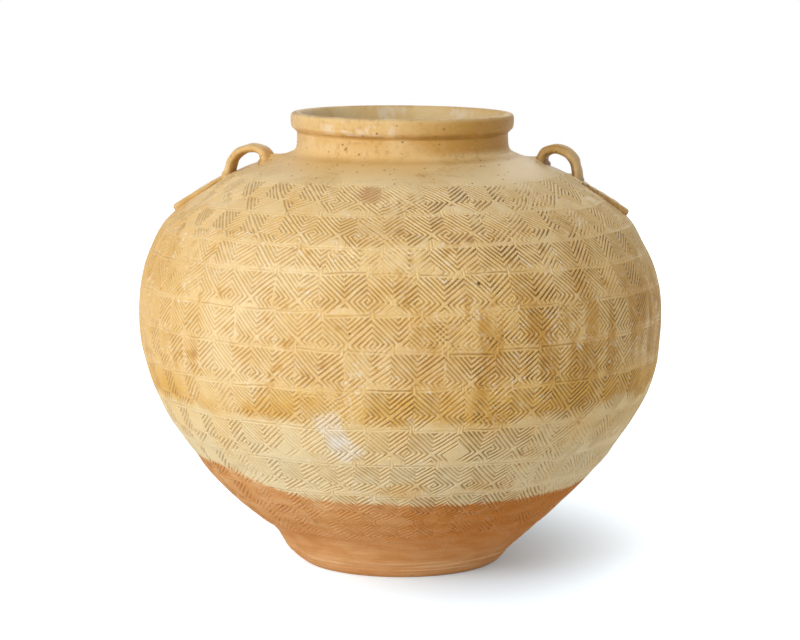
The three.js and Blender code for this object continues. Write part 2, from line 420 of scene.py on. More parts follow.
# %% The stamp's face
STAMP_HALF = 18.2
STAMP_CENTRE = 20.8
LEFT_SLOPE, RIGHT_SLOPE = 1.05, 0.85
LINE_STEP = 3.75
MAIN_RIDGE = 0.4
LINE_ENDS = 1.8
BAND = 3.2
BOSS = 2.6
STROKES_AT, STROKE_WIDTH = (16.1, 18.4), 0.5
GROOVE = 1.0


def stamp_face(u, v, reach, line, band):
    """What the stamp leaves: 1 on a ridge and 0 in a groove, and how firmly it touches, from 0 to 1.

    u runs along the girth from the stamp's middle, and v runs down from its upper line. reach is how far
    the stamp touches in its left and its right triangle and below its crossing. line is how clearly its
    upper line has printed, and band the same for the band above it."""
    aside, below, left = np.abs(u), v - STAMP_CENTRE, u < 0
    upper = below + aside * np.where(left, LEFT_SLOPE, RIGHT_SLOPE)
    lower = aside * np.where(left, RIGHT_SLOPE, LEFT_SLOPE) - below
    depth = np.minimum(upper, lower)
    away = np.sign(depth) * np.maximum(np.abs(depth) - MAIN_RIDGE, 0)
    ridge = np.clip(0.75 + 1.05 * np.cos(2 * math.pi * away / LINE_STEP), 0, 1)
    ridge = np.maximum(ridge, 1 - step(np.hypot(u, below), BOSS * 0.5, BOSS))
    ridge = np.where(v < 0, 1.0, 1 - (1 - ridge) * step(v, LINE_ENDS - 0.6, LINE_ENDS + 0.4))
    length = 1 - step(aside, 15.0, 16.5)
    upper_line = line * np.exp(-((v / 0.6) ** 2)) * length
    band_line = band * np.exp(-(((v + BAND) / 0.7) ** 2)) * length
    strokes = sum(np.exp(-(((aside - at) / STROKE_WIDTH) ** 2)) for at in STROKES_AT)
    strokes *= step(v, -6.0, -4.6) * (1 - step(v, 1.5, 3.5))
    ridge = np.minimum(ridge, 1 - np.maximum(upper_line, np.maximum(band_line, 0.65 * strokes)))
    side = np.where(left, reach[0], reach[1])
    sides = (1 - step(below, side * 0.6, side * 0.6 + 6)) * (1 - step(depth, side, side + 2.5))
    middle = 1 - step(below, reach[2], reach[2] + 4)
    under = step(-lower, -0.5, 1.0)
    touch = under * middle + (1 - under) * sides
    touch *= 1 - (1 - band) * (1 - step(v, -1.4, -0.7))
    touch *= (1 - step(aside, STAMP_HALF - 0.6, STAMP_HALF + 0.8)) * step(v, -BAND - 1.6, -BAND - 0.6)
    return ridge, np.maximum(touch, np.minimum(strokes, 1) * 0.8)


print("a print is", 2 * STAMP_HALF, "mm wide")

# %% One blow of the stamp
# The heights of the tiers' upper lines, and how far apart the blows are in each.
TIERS = [
    (296, 31), (277, 31), (258.5, 32.5), (241, 34.5), (215.5, 35.5), (189, 35.5), (160, 35), (131.5, 32),
    (101.5, 28), (77, 27.5), (54, 27),
]
FULL_REACH = 30.0
DENT = 0.22
relief = np.zeros((len(fine_s), len(fine_angle)), np.float32)
dents = np.zeros_like(relief)
pressed_by_height = np.interp(fine_z, [31, 41, 76, 290, 296, 299], [0.0, 0.7, 1.0, 1.0, 0.7, 0.0])[:, None]


def press(theta, tier_s, tilt, strength, reach, line, band):
    """One blow of the stamp on the map, its upper line at tier_s and its middle at angle theta."""
    rows = np.nonzero((fine_s > tier_s - STAMP_CENTRE - 18) & (fine_s < tier_s + BAND + 4))[0]
    radius = fine_r[rows][:, None]
    span = int(1.2 * STAMP_HALF / radius.min() / math.pi * COLUMNS) + 2
    columns = int(round(theta / math.pi * COLUMNS)) + np.arange(-span, span + 1)
    grid = np.ix_(rows, columns % len(fine_angle))
    u = (columns * math.pi / COLUMNS - theta)[None, :] * radius + warp_u[grid]
    v = tier_s - fine_s[rows][:, None] + warp_v[grid]
    u, v = u * math.cos(tilt) + v * math.sin(tilt), v * math.cos(tilt) - u * math.sin(tilt)
    ridge, touch = stamp_face(u, v, reach, line, band)
    touch = touch * strength * pressed_by_height[rows]
    relief[grid] = relief[grid] * (1 - touch) - GROOVE * (1 - ridge) * touch
    hollow = np.exp(-((u / 15.0) ** 4) - (((v - 13.0) / 13.0) ** 4)) * strength * pressed_by_height[rows]
    dents[grid] = np.minimum(dents[grid], -DENT * hollow)


print(len(TIERS), "tiers of stamps")

# %% [markdown]
# Hand work is uneven in a few ways, and each is drawn by chance from a fixed seed. The potter walked
# round the jar a few blows at a time, so a run of prints shares its drop and its slant. Some blows took
# weakly, some touched with only part of the stamp, and about one in five was struck twice.

# %% Beat the wall
DOUBLE_BLOWS = 0.22
STRENGTHS, STRENGTH_ODDS = [1.0, 0.93, 0.82, 0.62], [0.52, 0.28, 0.13, 0.07]
FINE_TIERS_ABOVE = 245
blows = 0
for tier, (top_z, spacing) in enumerate(TIERS):
    tier_s = at_height(top_z)
    radius = float(np.interp(tier_s - STAMP_CENTRE / 2, curve_s, curve_r))
    count = round(2 * math.pi * radius / spacing)
    phase = rng.uniform(-0.2, 0.2) + (tier % 2) * math.pi / count
    sway = rng.uniform(0, 2 * math.pi)
    full = 0.75 if top_z > FINE_TIERS_ABOVE else 0.9
    reaches = np.where(rng.uniform(size=count) < full, FULL_REACH, rng.uniform(5, 10, count))
    clear_line, clear_band = (0.55, 0.2) if top_z > FINE_TIERS_ABOVE else (0.95, 0.6)
    run = 0
    for i in range(count):
        if run == 0:
            run, drop, lean_over = rng.integers(1, 4), rng.normal(0, 0.9), rng.normal(0, 0.03)
        run -= 1
        theta = phase + (i + rng.uniform(-0.07, 0.07)) * 2 * math.pi / count
        line_s = tier_s + drop + 1.2 * math.sin(2 * theta + sway)
        tilt = lean_over + rng.normal(0, 0.02)
        strength = rng.choice(STRENGTHS, p=STRENGTH_ODDS)
        reach = (reaches[i - 1], reaches[i], rng.uniform(0.0, 9.0))
        line, band = clear_line * rng.uniform(0.5, 1.0), clear_band * rng.uniform(0.1, 1.0)
        if rng.uniform() < DOUBLE_BLOWS:
            beside = theta + rng.uniform(-12, 12) / radius
            lower = line_s - rng.uniform(2, 9)
            slanted = tilt + rng.normal(0, 0.06)
            press(beside, lower, slanted, 0.85, reach, line, band)
            strength = min(strength, 0.55)
            blows += 1
        press(theta, line_s, tilt, strength, reach, line, band)
        blows += 1
relief *= wear
print(blows, "blows, relief down to", round(float(relief.min()), 2), "mm")

# %% [markdown]
# The potter also wiped the wall smooth where the handles were to sit, smeared clay up against their roots,
# and trimmed the foot on the wheel, which left it with turning grooves. Last comes the slow swell of a
# wall that was beaten and not thrown.

# %% Handles, and the wall around them
# An arch is the middle line of a strap, as (distance from the axis, height). A mound is the clay smeared
# up to a root: its distance from the axis, its offset along Y, its height, and how far it runs inward and
# outward. turned and bearing are the angles in degrees by which the loop and the strip stray from the
# X axis, and the stain is how dark the glaze lies on them, before painted shade is added on the loops'
# undersides and roots and along the strips' edges.
HANDLES = [
    dict(
        side="left", sign=-1, turned=20.0, thickness=5.8,
        arch=[
            (128.4, 285), (127.5, 293), (126.4, 299), (124, 304.9), (119.5, 310), (113.2, 313.1),
            (106.8, 313.8), (101.7, 311.9), (98.9, 307.5), (98.2, 301.5), (98.2, 297),
        ],
        strip=(132, 168.5), strip_width=17.0, bearing=2.4, stain_and_shade=0.3,
        mounds=[(97.5, -5.5, 4.2, 8.4, 3.5), (128, 5.3, 1.6, 4, 6)],
    ),
    dict(
        side="right", sign=1, turned=14.0, thickness=7.0,
        arch=[
            (134.8, 283), (134.6, 291), (134.2, 298), (132.2, 304.4), (128, 309.4), (122.3, 312.3),
            (116, 312.4), (110.9, 309.7), (108.4, 304.8), (107.8, 299), (107.8, 294),
        ],
        strip=(138, 171.5), strip_width=19.5, bearing=2.6, stain_and_shade=0.7,
        mounds=[(105, 3.4, 3.8, 9, 3.5), (133.5, -3.3, 3.2, 5, 6)],
    ),
]
WIPED_HALF = 15.0
WIPED_AWAY = 0.85
MOUND_HALF = 9.0


def mound_height(radius, at):
    """How high the smeared clay stands on the shoulder, at distances from the axis and angles."""
    x, y = radius * np.cos(at), radius * np.sin(at)
    height = np.zeros(np.broadcast(x, y).shape)
    for handle in HANDLES:
        for distance, offset, tall, inward, outward in handle["mounds"]:
            gone = x * handle["sign"] - distance
            gone = gone / np.where(gone < 0, inward, outward)
            height += tall * np.exp(-gone ** 2 - ((y - offset) / MOUND_HALF) ** 2)
    return height


mounds = mound_height(ring_r[:, None], angle[None, :]) * (ring_z > 240)[:, None]
for handle in HANDLES:
    out = fine_r[:, None] * np.cos(fine_angle)[None, :] * handle["sign"]
    off_axis = np.abs(fine_r[:, None] * np.sin(fine_angle)[None, :])
    wiped = (1 - step(off_axis, WIPED_HALF * 0.6, WIPED_HALF)) * step(out, 90, 100)
    wiped *= step(fine_z, 245, 262)[:, None] * (1 - step(out, handle["strip"][1], handle["strip"][1] + 8))
    relief *= 1 - WIPED_AWAY * wiped
print("mounds up to", round(float(mounds.max()), 1), "mm")

# %% Swell, inset and turning grooves
swell = (0.35 * ripples(190.0) + 0.16 * ripples(70.0))[::2, ::2]
swell_by_height = np.interp(ring_z, [4, 30, 140, 165, 220, 240, 292, 304], [0, 1, 1, 0.35, 0.35, 1, 1, 0])
swell = np.clip(swell, -0.9, 0.9) * swell_by_height[:, None]
INSET = 0.6
inset = INSET * np.interp(ring_z, [120, 165, 220, 250], [0.0, 1.0, 1.0, 0.0])[:, None]
# Each turning groove on the foot: its height, depth and width.
TURNING = [
    (3.2, 0.25, 0.8), (8.5, 0.45, 1.0), (10.6, 0.3, 0.8), (15.8, 0.5, 1.2), (19.5, 0.35, 0.9),
    (24.0, 0.6, 1.6),
]
turning = np.zeros_like(swell)
for level, deep, wide in TURNING:
    strays = 0.7 * np.sin(angle + level) + 0.3 * np.sin(3 * angle + 2 * level)
    uneven = 0.65 + 0.35 * np.sin(2 * angle + 3 * level)
    turning -= deep * uneven * np.exp(-(((ring_z[:, None] - level - strays) / wide) ** 2))
wheel = 0.04 * np.sin(ring_s[:, None] * 2 * math.pi / 2.3 + np.sin(angle))
wheel *= (step(ring_z, 298, 301) * (1 - step(ring_z, 302, 304.5)))[:, None]
print("turning grooves down to", round(float(turning.min()), 2), "mm")

# %% The height of the skin
# The fine map is blurred a little before it is thinned out to the mesh's grid, or its lines would stair.
smooth_map = swell - inset + turning + wheel + mounds + dents[::2, ::2]
softened = relief + 0.5 * (np.roll(relief, 1, axis=1) + np.roll(relief, -1, axis=1))
softened[1:-1] = softened[1:-1] + 0.5 * (softened[:-2] + softened[2:])
softened[[0, -1]] *= 2
coarse = softened[::2, ::2] / 4
print("skin varies by", round(float(np.ptp(smooth_map + coarse)), 2), "mm")

# %% [markdown]
# ## Wall pieces
#
# Each course is a closed ring: its outside is cut from the grid, its inside is a plain wall, and its
# two lap faces lie on its neighbours. Normals are taken from the whole grid and not from the piece, so
# that the light doesn't break where two courses meet.

# %% Grid points and their normals
WALL = 8.5
WALL_AT_FOOT = 11.0
BELLY_LEVEL = 120.0
COURSE_SPLAY = 2.0
LEAN_AT = [
    0, 2, 5, 11, 18, 24, 30, 36, 49, 74, 86, 92, 117, 130, 155, 167, 210, 234, 246, 277, 289, 300,
    312, 340,
]
LEAN_BY = [
    0.4, 0.5, -0.2, -0.9, 1.0, 2.9, 3.3, 2.3, 0.9, 0.8, 2.0, 1.4, 1.3, 1.8, 1.4, 0.4, 0.0, -0.9, -1.6,
    -1.4, -1.2, -0.6, 2.0, 1.8,
]
SHOULDER_LEAN = -1.2


def lean(z):
    """The jar's axis wanders sideways by a millimetre or two, as a hand-built one does."""
    return np.interp(z, LEAN_AT, LEAN_BY)


def surface(height):
    """The grid's points in metres, with the skin raised by a map of heights."""
    r = ring_r[:, None] + out_r[:, None] * height
    z = ring_z[:, None] + out_z[:, None] * height
    return np.stack([r * np.cos(angle) + lean(z), r * np.sin(angle), np.maximum(z, 0)], axis=-1) * MM


def across(values):
    """The change of a map over two steps round the jar."""
    return np.roll(values, -1, axis=1) - np.roll(values, 1, axis=1)


whole = surface(smooth_map + coarse)
base = surface(smooth_map)
along, up = across(base), np.gradient(base, axis=0)
along /= np.linalg.norm(along, axis=-1, keepdims=True)
up /= np.linalg.norm(up, axis=-1, keepdims=True)
slope_along = across(relief)[::2, ::2] / (2 * math.pi / COLUMNS * ring_r[:, None])
slope_up = np.gradient(relief, fine_s, axis=0)[::2, ::2]
normals = np.cross(along, up)
normals -= slope_along[..., None] * along + slope_up[..., None] * up
normals /= np.linalg.norm(normals, axis=-1, keepdims=True)
print("widest point", round(float(np.abs(whole[..., 0]).max() / MM), 1), "mm from the middle")


# %% A mesh from rings
def mesh_object(name, points, quads, triangles=()):
    """An object from points in metres and faces, smooth shaded."""
    mesh = bpy.data.meshes.new(name)
    faces = np.asarray(quads, np.int32)
    mesh.vertices.add(len(points))
    mesh.vertices.foreach_set("co", np.asarray(points, np.float32).ravel())
    corners = faces.ravel()
    starts = np.arange(len(faces)) * 4
    if len(triangles):
        extra = np.asarray(triangles, np.int32)
        starts = np.concatenate([starts, len(corners) + np.arange(len(extra)) * 3])
        corners = np.concatenate([corners, extra.ravel()])
    mesh.loops.add(len(corners))
    mesh.loops.foreach_set("vertex_index", corners)
    mesh.polygons.add(len(starts))
    mesh.polygons.foreach_set("loop_start", starts.astype(np.int32))
    mesh.update(calc_edges=True)
    mesh.validate()
    mesh.polygons.foreach_set("use_smooth", np.ones(len(mesh.polygons), bool))
    made = bpy.data.objects.new(name, mesh)
    bpy.context.scene.collection.objects.link(made)
    return made


def ring_quads(rings, columns, closed=True):
    """Faces between rings of points, each ring after the other, the last joined to the first."""
    i = np.arange(rings if closed else rings - 1)[:, None]
    j = np.arange(columns)[None, :]
    a = (i % rings) * columns + j
    b = (i % rings) * columns + (j + 1) % columns
    c = ((i + 1) % rings) * columns + (j + 1) % columns
    d = ((i + 1) % rings) * columns + j
    return np.stack(np.broadcast_arrays(a, b, c, d), axis=-1).reshape(-1, 4)


def dress(made, node, material, groove_and_shade, inside):
    """Gives a piece its finish and hides the solid it stands for. groove and inside are masks by point."""
    for name, values in (("groove_and_shade", groove_and_shade), ("inside", inside)):
        attribute = made.data.attributes.new(name, "FLOAT", "POINT")
        attribute.data.foreach_set("value", np.asarray(values, np.float32).ravel())
    made.data.materials.append(material)
    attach(made, "root")
    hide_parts(node)


def circle(radius, level, columns_at):
    """A level ring of points."""
    x, y = radius * np.cos(columns_at), radius * np.sin(columns_at)
    return np.stack([x, y, np.full_like(columns_at, level)], axis=-1)


def inner_ring(z, columns_at):
    """One ring of the inside of the wall, level with a height on the outside."""
    r, level, nr, nz = point(at_height(z))
    wall = np.interp(z, [0, BELLY_LEVEL], [WALL_AT_FOOT, WALL])
    r, level = float(r - nr * wall), float(level - nz * wall)
    ring = circle(r, level, columns_at)
    ring[:, 0] += lean(level)
    return ring * MM


print("mesh helpers are ready")

# %% [markdown]
# ## Glaze and clay
#
# The upper part wears a thin straw-coloured ash glaze, warmer and darker where it pooled in the grooves
# and ran down, paler where it lay on the ridges. Its runs end in an amber band below the widest girth,
# and under that only a dry, pale wash is left. The wash stops in an uneven line above the foot, and
# below it the clay is bare, orange brown and matt. One material carries all of this, because on the
# pot one finish fades into the other.

# %% Colours of the finish
STRAW = (0.84, 0.57, 0.225, 1.0)
CREAM = (0.88, 0.68, 0.38, 1.0)
OCHRE = (0.74, 0.45, 0.15, 1.0)
AMBER = (0.62, 0.33, 0.07, 1.0)
OLIVE = (0.66, 0.51, 0.27, 1.0)
GOLD = (0.76, 0.45, 0.10, 1.0)
WASH = (0.85, 0.71, 0.43, 1.0)
CHALK = (0.91, 0.85, 0.74, 1.0)
POOLED = (0.50, 0.27, 0.06, 1.0)
DARK_LINE_BROWN = (0.20, 0.115, 0.045, 1.0)
RUST = (0.46, 0.20, 0.07, 1.0)
BROWN = (0.34, 0.19, 0.07, 1.0)
SPECK = (0.09, 0.055, 0.03, 1.0)
CLAY = (0.60, 0.245, 0.055, 1.0)
RUDDY_CLAY = (0.57, 0.20, 0.030, 1.0)
PALE_CLAY = (0.80, 0.47, 0.215, 1.0)
BUFF = (0.84, 0.66, 0.36, 1.0)
RING_HIGHLIGHT = (0.90, 0.64, 0.36, 1.0)

# Marks that this jar has in one place each, and two spots of painted shade on the shoulder under the loops'
# inner roots.
CHALK_AT = [(-0.046, -0.180, 0.130), (-0.035, -0.175, 0.114), (-0.123, -0.135, 0.1235)]
ROOT_SHADE_AT = [(-0.119, -0.004, 0.300), (0.121, -0.006, 0.300)]
RUST_AT = (-0.021, -0.131, 0.2915)
SMALL_RUST_AT = (0.0486, -0.165, 0.262)
SPECK_AT = (0.0547, -0.1814, 0.234)
SMALL_SPECK_AT = (0.1606, -0.116, 0.186)
print("eighteen colours and nine marks")

# %% What varies over the pot
stoneware = Shader("ash_glazed_stoneware")
mix, patches = stoneware.mix, stoneware.noise
here = stoneware.node("ShaderNodeTexCoord", output="Object")
x, y, z = stoneware.split(here)
in_groove_and_shade, in_mouth = stoneware.attribute("groove_and_shade"), stoneware.attribute("inside")
broad = patches(here, 0.10, 2.0)
blotch = patches(here, 0.028, 3.0)
streak = patches(stoneware.stretch(here, (1.0, 1.0, 0.2)), 0.017, 3.0)
mottle = patches(here, 0.006, 4.0, 0.6)
grain = patches(here, 0.0022, 3.0, 0.6)
fine = patches(here, 0.0012, 3.0)
# Painted sheen: the side towards the key lamp is made paler and creamier.
lit_side_sheen = x.window(-0.19, -0.12, -0.10, 0.08)
print("six sizes of noise, from 1 to 100 mm")

# %% [markdown]
# ### The glaze
#
# Ash that melted thick is amber, and where it lay thin it is cream or straw. The side towards -X, where the
# key lamp stands, is made paler and creamier, a painted sheen. The side towards +X is browner, partly
# from the glaze and partly with painted shade, and the melted ash ran down in streaks. A painted map would
# show the runs exactly, but this finish has to be made from sums alone. So each layer is a mask from noise
# and from a place on the pot, laid over the layers before it.

# %% The glaze on the wall
creamy = broad.ramp(0.36, 0.64) * 0.4 + lit_side_sheen * (0.5 - z.ramp(0.25, 0.28) * 0.35)
color = mix(creamy + z.ramp(0.26, 0.29) * 0.3, STRAW, CREAM)
color = mix(blotch.ramp(0.46, 0.66) * (0.7 - lit_side_sheen * 0.3), color, OCHRE)
warm = x.window(-0.14, -0.05, 0.05, 0.10) * z.window(0.15, 0.17, 0.205, 0.235) * 1.2
warm = warm + (1 - x.ramp(-0.20, -0.13)) * 2.0
warm = warm + (1 - x.ramp(-0.17, -0.05)) * z.ramp(0.20, 0.24) * 1.1
color = mix(warm * 0.3, color, OCHRE)
color = mix(z.window(0.225, 0.26, 0.296, 0.306) * x.ramp(-0.07, 0.0) * 0.28, color, CREAM)
runs = streak.ramp(0.46, 0.58) * z.window(0.125, 0.15, 0.20, 0.26) * x.ramp(-0.02, 0.06)
color = mix(runs * 0.85, color, AMBER)
color = mix(mottle.ramp(0.5, 0.7) * 0.35, color, CREAM)
drops = patches(here, 0.014, 2.0).ramp(0.62, 0.72) * z.window(0.14, 0.17, 0.255, 0.28)
color = mix(drops * 0.6, color, AMBER)
print("glaze on the wall in seven layers")

# %% The glaze on the shoulder, the neck and the lip
freckles = patches(here, 0.0036, 3.0).ramp(0.51, 0.63) * z.ramp(0.285, 0.305)
freckled = 0.04 + blotch.ramp(0.42, 0.6) * 0.28 + z.window(0.309, 0.314, 0.336, 0.342) * 0.12
color = mix(freckles * freckled, color, BROWN)
color = mix(z.ramp(0.278, 0.30) * blotch.ramp(0.3, 0.6) * 0.2, color, OLIVE)
below_neck = z.window(0.285, 0.296, 0.306, 0.312) * x.ramp(0.02, 0.08)
color = mix(below_neck * 0.8, color, CREAM)
neck_root = z.window(0.298, 0.308, 0.312, 0.318) * (1 - x.ramp(0.0, 0.05))
color = mix(neck_root * 0.6 + z.ramp(0.324, 0.327) * 0.25, color, OCHRE)
# The neck is amber, deeper and browner towards +X: partly the glaze, partly painted shade on the side away
# from the lamps.
neck = z.window(0.311, 0.317, 0.336, 0.342) * (0.3 + x.ramp(-0.01, 0.06) * 0.7)
color = mix(neck, color, AMBER)
color = mix(neck * x.ramp(0.02, 0.075) * 0.28, color, BROWN)
worn_edge = z.window(0.3255, 0.3265, 0.3272, 0.3285) + z.ramp(0.3395, 0.3406)
color = mix(worn_edge * blotch.ramp(0.35, 0.6) * 0.5, color, BROWN)
under_lip = z.window(0.317, 0.3235, 0.3255, 0.3275) * streak.ramp(0.35, 0.6) * (1 - in_mouth)
color = mix(under_lip * 0.4, color, AMBER)
print("glaze on the neck in eight layers")

# %% [markdown]
# ### The amber band and the dry wash
#
# The runs stopped below the widest girth and gathered there in an amber band with a ragged lower edge.
# The height of that edge is a sum: the plain height, moved up and down by two sizes of noise. Under it
# the wall has only a dry, pale wash. Three chalky scuffs and a few on the lip are marks of use.

# %% The band and the wash
level = z + (streak - 0.5) * 0.020 + (blotch - 0.5) * 0.008 - x.ramp(0.06, 0.13) * 0.004
dry = 1 - level.ramp(0.130, 0.141)
pooled_band = level.window(0.130, 0.139, 0.146, 0.170)
patchy = patches(here, 0.034, 2.0).ramp(0.38, 0.6)
color = mix(pooled_band * (0.3 + x.ramp(-0.10, 0.02) * 0.3 + patchy * 0.5), color, GOLD)
band_edge = level.window(0.131, 0.136, 0.138, 0.150)
color = mix(band_edge * (patchy * 0.35 + x.ramp(0.0, 0.05) * 0.2), color, AMBER)
yellower = blotch.ramp(0.4, 0.7) * 0.35 + z.ramp(0.095, 0.130) * (0.5 - lit_side_sheen * 0.3)
color = mix(dry * 0.92, color, mix(yellower, WASH, STRAW))
wash_stain = z.window(0.068, 0.075, 0.082, 0.092) * x.window(-0.05, -0.01, 0.06, 0.10)
color = mix(wash_stain * blotch.ramp(0.35, 0.6) * 0.5, color, OCHRE)
print("the glaze ends about 135 mm up")

# %% Chalky scuffs
ragged = (blotch - 0.5) * 0.05


def spot(middle, inner, outer, raggedness):
    """A mark that is whole within inner metres of its middle and gone at outer, with a ragged edge."""
    return 1 - (stoneware.distance(here, middle) + ragged * raggedness).ramp(inner, outer)


chalky = 0
for middle in CHALK_AT:
    chalky = chalky + spot(middle, 0.005, 0.014, 1.0)
on_lip = z.window(0.327, 0.3285, 0.334, 0.337) * x.window(-0.062, -0.050, -0.008, 0.0)
on_lip = on_lip * (0 - y).ramp(0.0, 0.03)
chalky = chalky + patches(here, 0.010, 2.0).ramp(0.46, 0.60) * on_lip * 0.7
color = mix(chalky * 0.5, color, CHALK)
print(len(CHALK_AT), "chalky scuffs, and some on the lip")

# %% [markdown]
# ### The bare clay
#
# The foot was left bare, and fired to an orange brown that is ruddier on one side. The trimming tool
# drew fine rings in it. The clay is paler at the very bottom, its waist is darkened with painted shade
# under the wall's curve, and painted highlights lie on its +X side and on some of the rings. Noise
# squeezed along Z gives such rings, because it changes fast with height and hardly at all round the foot.

# %% The bare clay
edge = z + (broad - 0.5) * 0.012 + (mottle - 0.5) * 0.006 - (0 - x).ramp(0.04, 0.15) * 0.019
bare = 1 - (edge - in_groove_and_shade * 0.002).ramp(0.067, 0.0705)
brushed = patches(stoneware.stretch(here, (0.5, 0.5, 1.5)), 0.010, 3.0)
ruddy = x.ramp(-0.06, 0.09) * z.ramp(0.0, 0.06)
clay = mix(brushed.ramp(0.3, 0.7) * 0.5 + 0.4 - ruddy * 0.5, CLAY, PALE_CLAY)
clay = mix(ruddy * 0.5, clay, RUDDY_CLAY)
# Painted shade: a darker, ruddier band round the foot's waist, under the wall's curve.
waist_shade = z.window(0.017, 0.027, 0.036, 0.050)
clay = mix(waist_shade * (0.05 + broad.ramp(0.4, 0.6) * 0.25), clay, RUDDY_CLAY)
clay = mix(z.window(-0.01, -0.005, 0.006, 0.018) * 0.3, clay, PALE_CLAY)
# Painted highlight: a pale stripe on the +X side of the foot.
painted_edge_light = (x - z).ramp(0.060, 0.080) * z.ramp(0.016, 0.030)
clay = mix(painted_edge_light * 0.75, clay, PALE_CLAY)
tool_rings = patches(stoneware.stretch(here, (0.10, 0.10, 5.0)), 0.010, 2.0)
# Painted highlights: pale arcs on some of the turning rings near the bottom of the foot.
ring_highlights = tool_rings.ramp(0.54, 0.60) * z.window(0.0, 0.003, 0.010, 0.022) * blotch.ramp(0.35, 0.55)
clay = mix(ring_highlights * 0.75, clay, RING_HIGHLIGHT)
clay = mix((1 - tool_rings.ramp(0.36, 0.46)) * 0.3, clay, CLAY)
color = mix(bare, color, clay)
print("the clay is bare below about 68 mm")

# %% [markdown]
# ### Grooves
#
# Glaze ran into the stamped lines and lies darker there, and some lines are darker still, more so towards
# +X. Each mesh carries a groove mask of its own depth, so the colour follows the very lines that the shape
# has. The handles, the edges of the strips and the fold under the lip carry painted shade in the same mask,
# and on the handles a value above 1 marks painted shade on their undersides near the roots.

# %% Grooves
pooling = 0.38 + x.ramp(-0.10, 0.05) * 0.3 + blotch.ramp(0.4, 0.65) * 0.2
thinned = dry * (0.25 + x.ramp(0.07, 0.14) * 0.4)
deep = in_groove_and_shade.ramp(0.35, 0.85) * pooling * (1 - bare * 0.3 - thinned)
color = mix(deep, color, mix(bare, POOLED, CLAY))
# Some grooves are darker still, more so towards +X.
darker_lines = in_groove_and_shade.ramp(0.7, 1.0) * patches(here, 0.022, 2.0).ramp(0.4, 0.6)
color = mix(darker_lines * (0.2 + x.ramp(-0.05, 0.07) * 0.6), color, DARK_LINE_BROWN)
# Painted shade: the loops' undersides near their roots, and two spots on the shoulder under their inner
# roots.
shaded = in_groove_and_shade.ramp(1.0, 2.0)
for middle in ROOT_SHADE_AT:
    shaded = shaded + spot(middle, 0.003, 0.010, 0.3) * 0.8
color = mix(shaded * 0.75, color, BROWN)
print("grooves are darker in three ways")

# %% [markdown]
# ### Crust, rust and pin-holes
#
# Fine pale crust is left on the ridges. Iron in the clay has bled through as two rust marks and a few
# faint ones, and has burst out as dark specks. Pin-holes pepper the neck. Single marks that anyone would
# know this jar by have a place of their own, and the rest come from noise or from scattered points.

# %% Crust and rust
crust = patches(stoneware.stretch(here, (1.0, 1.0, 0.4)), 0.018, 2.0).ramp(0.52, 0.66)
pale = grain.ramp(0.50, 0.64) * mottle.ramp(0.40, 0.6) * (1 - in_groove_and_shade * 0.5) * (1 - bare * 0.7)
color = mix(pale * (0.25 + crust * 0.45) * (1 - z.ramp(0.290, 0.300) * 0.8), color, CHALK)
rusty = patches(here, 0.020, 3.0, 0.6).ramp(0.67, 0.75) * 0.45
color = mix(rusty + spot(RUST_AT, 0.001, 0.012, 0.6) * 0.5, color, RUST)
color = mix(spot(SMALL_RUST_AT, 0.001, 0.006, 0.3) * 0.55, color, RUST)
print("crust and rust are laid on")


# %% Specks and pin-holes
def scattered(count_per_metre):
    """The distance to the nearest of many scattered points, as a share of their spacing."""
    inputs = {"Vector": here, "Scale": count_per_metre}
    return stoneware.node("ShaderNodeTexVoronoi", {}, inputs, output="Distance")


chosen = patches(here, 0.03, 1.0).ramp(0.52, 0.54)
color = mix((1 - scattered(62.0).ramp(0.035, 0.055)) * chosen * 0.85, color, SPECK)
pocked = patches(here, 0.018, 2.0).ramp(0.44, 0.52) * z.window(0.285, 0.300, 0.336, 0.342)
color = mix((1 - scattered(150.0).ramp(0.10, 0.18)) * pocked * 0.9, color, BROWN)
clear = stoneware.distance(here, SPECK_AT).ramp(0.0011, 0.0019)
clear = clear * stoneware.distance(here, SMALL_SPECK_AT).ramp(0.0009, 0.0016)
color = mix(0.9 - clear * 0.9, color, SPECK)
print("specks are laid on")

# %% [markdown]
# ### The lining and the gloss
#
# Inside, the wall is a plain buff with pale streaks. Ash glaze is smooth but not glassy, so its
# roughness sits near the middle and wanders with the mottling, and the bare clay is matt. A weak bump
# adds the grain that is too fine for the mesh.

# %% Lining, gloss and bump
SHINE = 0.15
BUMP_STRENGTH, BUMP_HEIGHT = 0.3, 0.0006
lining = mix(blotch.ramp(0.42, 0.62) * 0.35, BUFF, OCHRE)
lining = mix(streak.ramp(0.52, 0.64) * mottle.ramp(0.35, 0.55) * 0.6, lining, CHALK)
color = mix(in_mouth, color, lining)
roughness = 0.40 + mottle * 0.16 + (bare + dry * 0.4) * 0.3 + in_mouth * 0.2
bump_inputs = {"Strength": BUMP_STRENGTH, "Distance": BUMP_HEIGHT, "Height": fine * 0.6 + mottle}
bump = stoneware.node("ShaderNodeBump", {}, bump_inputs)
stoneware.surface.inputs["Specular IOR Level"].default_value = SHINE
skin = stoneware.finish(color, roughness, bump)
print("skin uses", len(skin.node_tree.nodes), "nodes")

# %% [markdown]
# ## Dressing the wall
#
# Now each course takes its rings from the grid. Its mesh closes round the inside and the two laps, its
# normals come from the fine map, so that lines finer than the mesh still catch the light, and the solid
# it stands for is hidden.

